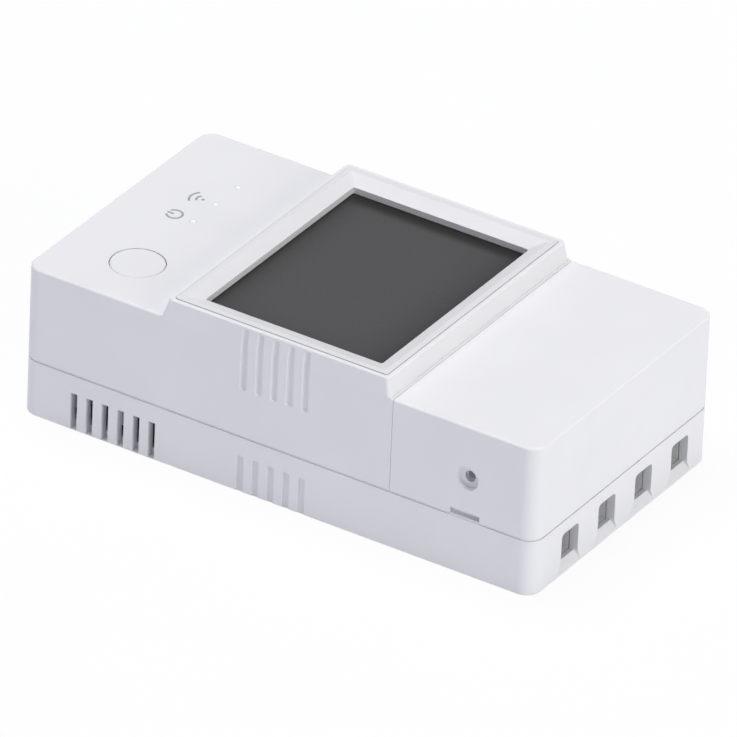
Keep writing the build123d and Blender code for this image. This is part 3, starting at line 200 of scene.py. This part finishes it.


# Painted shade over the display's dark frame along the edges of the smoked window: the frame lies deeper
# under the bezel, and its own dark colour and the shade there are painted on together. Along the back edge
# it is dark as far in as BACK_DARK and clear from BACK_CLEAR on. Each other edge has its axis, its place,
# its way out, the share that is lost there and the length over which that dies away. Over the middle the
# tone drifts by MIDDLE_DRIFT.
MIDDLE_DRIFT = 0.03
BACK_DARK = 1.6 * MM
BACK_CLEAR = 3.9 * MM
EDGE_SHADE_FADES = (
    ("X", VIEW_LEFT, -1, 0.97, 2.2 * MM),
    ("X", VIEW_RIGHT, 1, 0.85, 3.2 * MM),
    ("Y", VIEW_FRONT, -1, 0.45, 2.6 * MM),
)


def smoked_window():
    """Smoked acrylic with a matt front: neutral charcoal over the display, and nearly black over the rim of
    the display's frame, which lies deeper: there the frame's own dark colour and painted shade are drawn
    together, fading off softly. The matt grain is too fine to show, so it is drawn 0.1 mm wide."""
    material, shader, place = new_material("smoked_window", **{"IOR": 1.49, "Specular IOR Level": 0.3})
    coordinates = add(material, "ShaderNodeSeparateXYZ", links={"Vector": place})
    light = add(material, "ShaderNodeMapRange", {"interpolation_type": "SMOOTHSTEP"},
                {"From Min": VIEW_BACK - BACK_DARK, "From Max": VIEW_BACK - BACK_CLEAR},
                {"Value": coordinates.outputs["Y"]}).outputs["Result"]
    for axis, edge, way_out, share, length in EDGE_SHADE_FADES:
        depth = add(material, "ShaderNodeMath", {"operation": "MULTIPLY_ADD"},
                    {1: way_out / length, 2: -way_out * edge / length}, {0: coordinates.outputs[axis]})
        fade = add(material, "ShaderNodeMath", {"operation": "EXPONENT"}, links={0: depth.outputs["Value"]})
        kept = add(material, "ShaderNodeMath", {"operation": "MULTIPLY_ADD", "use_clamp": True},
                   {1: -share, 2: 1.0}, {0: fade.outputs["Value"]})
        light = add(material, "ShaderNodeMath", {"operation": "MULTIPLY"},
                    links={0: light, 1: kept.outputs["Value"]}).outputs["Value"]
    drift = add(material, "ShaderNodeMath", {"operation": "MULTIPLY_ADD"},
                {1: MIDDLE_DRIFT, 2: -MIDDLE_DRIFT / 2}, {0: marks(material, place, 9)}).outputs["Value"]
    shade = add(material, "ShaderNodeMath", {"operation": "ADD"},
                links={0: light, 1: drift}).outputs["Value"]
    # Painted shade: the window runs from nearly black at its edges to charcoal over the middle
    tone(material, shader, shade, "#0B0B0C", "#3D3D3F", start=0.0, end=1.0)
    gloss(material, shader, marks(material, place, 0.4), low=0.5, high=0.6)
    relief(material, shader, marks(material, place, 0.1), depth=0.0006)
    return material


def milky_light_guide():
    """Diffusing acrylic: brighter than the case round it, with a wet sheen and faint cloudiness, because a
    little of the light spreads inside it."""
    material, shader, place = new_material(
        "milky_light_guide", **{"IOR": 1.49, "Subsurface Weight": 0.3, "Subsurface Radius": [0.6 * MM] * 3})
    tone(material, shader, marks(material, place, 0.8), "#F8F9FA", "#FFFFFF")
    gloss(material, shader, marks(material, place, 0.3), low=0.15, high=0.22)
    relief(material, shader, marks(material, place, 0.2), depth=0.0005)
    return material


def pad_print():
    """Grey pad-printed ink: thin, matt and slightly uneven where the ink followed the grain."""
    material, shader, place = new_material("pad_print", IOR=1.5)
    tone(material, shader, marks(material, place, 0.15), "#97979C", "#A5A5AA")
    gloss(material, shader, marks(material, place, 0.2), low=0.5, high=0.62)
    relief(material, shader, marks(material, place, 0.1), depth=0.0008)
    return material


def polarised_glass():
    """Display glass under its polarising film: dark grey-green and glossy, with a barely visible texture."""
    material, shader, place = new_material("polarised_glass", IOR=1.52)
    tone(material, shader, marks(material, place, 6), "#262A27", "#2C302D")
    gloss(material, shader, marks(material, place, 1), low=0.1, high=0.16)
    relief(material, shader, marks(material, place, 0.5), depth=0.0004)
    return material


def wound_copper():
    """Enamelled copper wire laid in close turns, its colour painted lighter along each turn and darker
    between
    turns: a painted highlight and painted shade over a bump of the same bands. Real turns of such a coil
    are too fine to show, so they are drawn 0.2 mm apart."""
    material, shader, place = new_material("wound_copper", Metallic=1.0)
    turns = add(material, "ShaderNodeTexWave", {"wave_type": "BANDS", "bands_direction": "X"},
                {"Scale": band_scale(0.2), "Distortion": 0.3}, {"Vector": place}).outputs["Fac"]
    # Painted highlight along each turn and painted shade between turns
    tone(material, shader, turns, "#7E3F22", "#C77B4A", start=0.1, end=0.9)
    gloss(material, shader, marks(material, place, 1), low=0.25, high=0.35)
    relief(material, shader, turns, depth=0.08)
    return material


def taped_winding():
    """Yellow polyester tape wrapped over the winding: glossy, its edges stepping up every 3 mm."""
    material, shader, place = new_material("taped_winding", IOR=1.6)
    wraps = add(material, "ShaderNodeTexWave",
                {"wave_type": "BANDS", "bands_direction": "Z", "wave_profile": "SAW"},
                {"Scale": band_scale(3), "Distortion": 0.2}, {"Vector": place}).outputs["Fac"]
    tone(material, shader, wraps, "#D9AC1E", "#E9C23A", start=0.1, end=0.9)
    gloss(material, shader, marks(material, place, 2), low=0.2, high=0.3)
    relief(material, shader, wraps, depth=0.05)
    return material


# The material of each slot of the record
FINISHES = {
    "case_white": spark_textured_abs(),
    "bezel_white": smooth_abs(),
    "window_smoke": smoked_window(),
    "lcd_glass": polarised_glass(),
    # Milky acrylic of the display's light box: even white with a slight sheen
    "backlight_white": moulded("milky_acrylic", "#E4E4E0", "#EAEAE6", rough=0.3, grain=1.0, depth=0.002,
                               ior=1.49),
    "clear_plastic": milky_light_guide(),
    # Clear amber epoxy of the lamps: warm white and glossy
    "led_body": moulded("lamp_epoxy", "#E9E4CC", "#F2EEDA", rough=0.2, grain=0.3, depth=0.001),
    # Green solder mask of the two boards and blue-black mask of the radio's
    "board_green": coated_board("green_solder_mask", "#0C3A1F", "#114826"),
    "board_blue": coated_board("blue_solder_mask", "#0D1A30", "#12223C"),
    # Tin-plated steel of the radio's shield and the display's pins: bright and slightly cloudy, with rolling
    # marks along X
    "shield_tin": metal("tin_plate", "#B9B9B4", "#CACAC6", rough=0.3, stretch=(0.15, 1, 1), size=0.4,
                        depth=0.002),
    # Zinc plate on screws and clamps: cool grey with fine marks round the turning
    "zinc_steel": metal("zinc_plate", "#A6A8AB", "#BDBFC2", rough=0.32, stretch=(1, 1, 3), size=0.5,
                        depth=0.003),
    # Rolled brass of the busbars and contacts: warm, with rolling marks along X
    "busbar_brass": metal("rolled_brass", "#C09C55", "#D3B26C", rough=0.28, stretch=(0.1, 1, 1), size=0.3,
                          depth=0.002),
    # White nylon block in the ports: semi-matt and a touch warmer than the case, and a touch greyer as
    # painted shade for the dim inside of the ports
    "block_grey": moulded("block_nylon", "#DCDCDE", "#E2E2E4", rough=0.5, grain=0.4, depth=0.004),
    # Black glass-filled nylon of the sockets, bases and pin strips: short fibres leave a coarse matt grain
    "black_plastic": moulded("black_nylon", "#141415", "#1B1B1D", rough=0.55, grain=0.35, depth=0.006),
    # White acetal of the small switch's plunger and the relay's bobbin: waxy and bright
    "plunger_white": moulded("acetal", "#D6D6D2", "#DEDEDA", rough=0.35, grain=0.4, depth=0.002, ior=1.48),
    # Black polyester of the relay's case: smoother and shinier than nylon
    "relay_black": moulded("relay_polyester", "#0F0F11", "#161618", rough=0.3, grain=0.5, depth=0.002),
    "coil_copper": wound_copper(),
    # Nickel-plated soft iron of the relay's yoke and armature: greyer and duller than steel
    "relay_iron": metal("nickel_iron", "#97979A", "#A9A9AC", rough=0.4, stretch=(1, 1, 0.2), size=0.4,
                        depth=0.003),
    # Sintered ferrite of the transformer and the choke: near black, dull, with pores 0.3 mm across
    "ferrite": moulded("sintered_ferrite", "#121213", "#1A1A1B", rough=0.5, grain=0.3, depth=0.01, ior=2.2),
    "winding_tape": taped_winding(),
    # Sleeve shrunk over the capacitors: dark, with long soft ripples
    "capacitor_sleeve": moulded("shrunk_sleeve", "#101015", "#191920", rough=0.35, grain=2.0, depth=0.02),
    # Yellow box of the film capacitor: plain gloss moulding
    "film_yellow": moulded("film_box", "#CE9D1B", "#D9AA28", rough=0.3, grain=0.6, depth=0.003),
    # Blue epoxy that the varistor was dipped in: orange-peel surface, 0.8 mm across
    "varistor_blue": moulded("dipped_epoxy", "#12337F", "#19408F", rough=0.28, grain=0.8, depth=0.02),
    # Cement on the fuse resistor: chalky grey-green with coarse grit
    "fuse_grey": moulded("cement_coating", "#58695F", "#65766B", rough=0.8, grain=0.25, depth=0.02),
    # Black epoxy of the chips and the rectifier: dry and finely pitted
    "chip_epoxy": moulded("chip_epoxy", "#101010", "#171717", rough=0.6, grain=0.15, depth=0.006),
}

for piece in frame["record"]["subparts"]:
    for slot in frame["nodes"][piece["node"]].material_slots:
        slot.material = FINISHES[piece["material_slot"]]


# Printed marks beside the status lights: a power sign and a wireless sign. They face the left end of the
# case, so their upper side is towards minus X, which is 180 degrees.
PRINT_HEIGHT = 0.02 * MM
PRINT_SINK = 0.01 * MM
STROKE = 0.4 * MM
PRINT = pad_print()

# The power sign's ring is open at its upper side, where the bar stands. BAR_END and BAR_START are how far
# the bar's ends lie above the ring's middle.
POWER_MARK = (-38.4 * MM, 1.0 * MM)
POWER_RADIUS = 1.32 * MM
POWER_ARC = (-152, 152)
BAR_END = 1.4 * MM
BAR_START = 0.15 * MM

# The wireless sign is a dot with two arcs above it
WIRELESS_MARK = (-37.2 * MM, 7.6 * MM)
DOT_RADIUS = 0.28 * MM
WIRELESS_RADII = (1.1 * MM, 2.3 * MM)
WIRELESS_ARC = (135, 225)


def flat_print(name, outline):
    """Thin raised print on the flat top, inside a closed outline of (x, y) points."""
    mesh = bpy.data.meshes.new(name)
    shape = bmesh.new()
    low = [shape.verts.new((x, y, FLAT_TOP - PRINT_SINK)) for x, y in outline]
    high = [shape.verts.new((x, y, FLAT_TOP + PRINT_HEIGHT)) for x, y in outline]
    shape.faces.new(high)
    shape.faces.new(low[::-1])
    for i in range(len(outline)):
        j = (i + 1) % len(outline)
        shape.faces.new((low[i], low[j], high[j], high[i]))
    bmesh.ops.recalc_face_normals(shape, faces=shape.faces)
    shape.to_mesh(mesh)
    shape.free()
    mesh.materials.append(PRINT)
    piece = bpy.data.objects.new(name, mesh)
    bpy.context.scene.collection.objects.link(piece)
    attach(piece, "case")


def around(centre, radius, degrees):
    """Point at a distance and an angle from a centre."""
    angle = math.radians(degrees)
    return centre[0] + radius * math.cos(angle), centre[1] + radius * math.sin(angle)


def arc_outline(centre, radius, start, end, steps=48):
    """Closed outline of a stroke along an arc: forth on its outer side and back on its inner one."""
    angles = [start + (end - start) * i / steps for i in range(steps + 1)]
    outer = [around(centre, radius + STROKE / 2, angle) for angle in angles]
    inner = [around(centre, radius - STROKE / 2, angle) for angle in reversed(angles)]
    return outer + inner


def dot_outline(centre, radius, steps=24):
    """Closed outline of a round dot."""
    return [around(centre, radius, 360 * i / steps) for i in range(steps)]


def bar_outline(left, right, middle):
    """Closed outline of a straight stroke along X between two places, at the Y of its middle."""
    front = middle - STROKE / 2
    back = middle + STROKE / 2
    return [(left, front), (right, front), (right, back), (left, back)]


flat_print("power_mark_ring", arc_outline(POWER_MARK, POWER_RADIUS, *POWER_ARC))
flat_print("power_mark_bar", bar_outline(POWER_MARK[0] - BAR_END, POWER_MARK[0] - BAR_START, POWER_MARK[1]))
flat_print("wireless_mark_dot", dot_outline(WIRELESS_MARK, DOT_RADIUS))
for number, radius in enumerate(WIRELESS_RADII, start=1):
    flat_print(f"wireless_mark_arc_{number}", arc_outline(WIRELESS_MARK, radius, *WIRELESS_ARC))


# Studio: pale floor, even sky and two broad soft lamps, one overhead and one from the right
FLOOR_SIZE = 6.0
# The floor lies this far under the case, so that the two faces don't share a plane
FLOOR_DROP = 0.02 * MM
# Share of plain white in what the camera sees of the floor; the rest is the paper with its shadow
FLOOR_WHITE = 0.92
# The sky and the lamps together light the object so that a colour shows about as it is written. This is the
# sky's share of that level.
SKY_STRENGTH = 0.36
# Each lamp's colour and direction. The direction's three parts are also the shares of that level that the
# lamp adds on faces to the right, the back and the top, and a minus stands for the left or the front.
LAMPS = {
    "lamp_left": ("#FFFFFF", (-0.14, 0.0, 0.58)),
    "lamp_right": ("#FFFEF4", (0.485, -0.09, 0.105)),
}
# Width of each lamp in degrees, seen from the object
LAMP_SPREAD = 40


def share_shown(owner, share):
    """Share of plain white for rays that come straight from the camera, a shiny surface or glass."""
    rays = add(owner, "ShaderNodeLightPath")
    seen = rays.outputs["Is Camera Ray"]
    for other in ("Is Glossy Ray", "Is Transmission Ray"):
        seen = add(owner, "ShaderNodeMath", {"operation": "ADD", "use_clamp": True},
                   links={0: seen, 1: rays.outputs[other]}).outputs["Value"]
    return add(owner, "ShaderNodeMath", {"operation": "MULTIPLY"}, {1: share}, {0: seen}).outputs["Value"]


def pale_floor():
    """White paper sweep: shown almost white, with the object's shadow kept as a faint tone."""
    material, shader, place = new_material("paper_floor", Roughness=0.9)
    tone(material, shader, marks(material, place, 40), "#ECEDF6", "#F0F1F9")
    output = next(n for n in material.node_tree.nodes if n.type == "OUTPUT_MATERIAL")
    white = add(material, "ShaderNodeEmission", values={"Strength": 1.0})
    mixed = add(material, "ShaderNodeMixShader",
                links={0: share_shown(material, FLOOR_WHITE), 1: shader.outputs["BSDF"],
                       2: white.outputs["Emission"]})
    material.node_tree.links.new(mixed.outputs["Shader"], output.inputs["Surface"])
    return material


half = FLOOR_SIZE / 2
floor_mesh = bpy.data.meshes.new("floor")
floor_mesh.from_pydata([(-half, -half, 0), (half, -half, 0), (half, half, 0), (-half, half, 0)], [],
                       [(0, 1, 2, 3)])
floor_mesh.materials.append(pale_floor())
floor = bpy.data.objects.new("floor", floor_mesh)
floor.location.z = -FLOOR_DROP
bpy.context.scene.collection.objects.link(floor)

world = bpy.data.worlds.new("studio")
bpy.context.scene.world = world
world.use_nodes = True
world.node_tree.nodes.clear()
# The sky lights the object evenly, and is plain white where it is seen
light = add(world, "ShaderNodeBackground", values={"Color": linear("#F8F9FF"), "Strength": SKY_STRENGTH})
white = add(world, "ShaderNodeBackground", values={"Color": linear("#FFFFFF"), "Strength": 1.0})
sky = add(world, "ShaderNodeMixShader",
          links={0: share_shown(world, 1.0), 1: light.outputs["Background"], 2: white.outputs["Background"]})
add(world, "ShaderNodeOutputWorld", links={"Surface": sky.outputs["Shader"]})

for name, (colour, direction) in LAMPS.items():
    lamp_data = bpy.data.lights.new(name, "SUN")
    lamp_data.energy = math.pi * Vector(direction).length
    lamp_data.angle = math.radians(LAMP_SPREAD)
    lamp_data.color = linear(colour)[:3]
    lamp = bpy.data.objects.new(name, lamp_data)
    lamp.rotation_euler = Vector(direction).to_track_quat("Z", "Y").to_euler()
    bpy.context.scene.collection.objects.link(lamp)

# Camera: a long lens from the front right, about 31 degrees up, with its film and lens in millimetres. Its
# place and turn were fitted to the straight edges of the photograph.
FILM_WIDTH = 36
LENS_LENGTH = 724.16
CAMERA_PLACE = (1.06715, -1.75346, 1.25163)
CAMERA_TURN = (58.8556, -2.1686, 32.6268)
camera_data = bpy.data.cameras.new("camera")
camera_data.sensor_width = FILM_WIDTH
camera_data.lens = LENS_LENGTH
camera = bpy.data.objects.new("camera", camera_data)
camera.location = CAMERA_PLACE
camera.rotation_euler = [math.radians(angle) for angle in CAMERA_TURN]
bpy.context.scene.collection.objects.link(camera)
bpy.context.scene.camera = camera

bpy.context.scene.view_settings.view_transform = "Standard"
